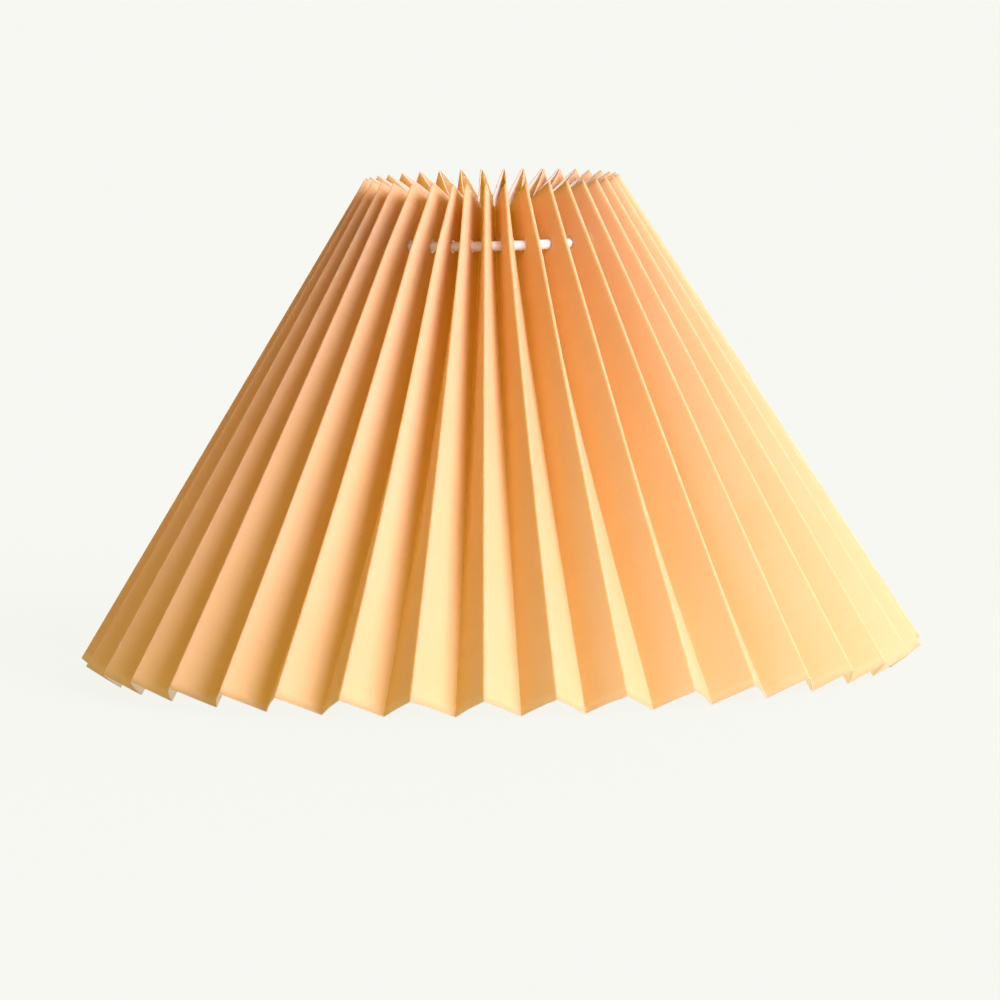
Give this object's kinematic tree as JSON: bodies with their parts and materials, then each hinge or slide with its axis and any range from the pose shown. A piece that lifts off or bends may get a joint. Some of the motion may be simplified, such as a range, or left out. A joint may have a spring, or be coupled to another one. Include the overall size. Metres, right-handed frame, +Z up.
{
  "type": "pleated lamp shade",
  "caption": "Pleated cone lamp shade of lined apricot cloth, drawn in by a white cord round a wire carrier ring with a spoked fitter for an E27 lamp holder.",
  "frame": {"origin": "centre of the circle that the pleats' lowest corners stand on, in the plane of a table under the shade", "axes": "+Z up along the shade's axis, from the wide lower mouth to the narrow top; +Y points at the glued seam, so -Y is the front"},
  "size_m": [0.3396, 0.3408, 0.2008],
  "materials": {
    "apricot_cloth": "fine plain weave, matt, lets light through",
    "white_liner": "matt white laminating film",
    "clear_tape": "double-sided tape",
    "white_cord": "braided polyester",
    "white_wire": "white powder coat, semi-gloss"
  },
  "bodies": {
    "root": {"pleated_cloth": "apricot_cloth", "pleated_liner": "white_liner", "seam_tape": "clear_tape", "drawcord": "white_cord", "carrier_ring": "white_wire", "spoke_1": "white_wire", "spoke_2": "white_wire", "spoke_3": "white_wire", "fitter_ring": "white_wire"}
  },
  "joints": []
}
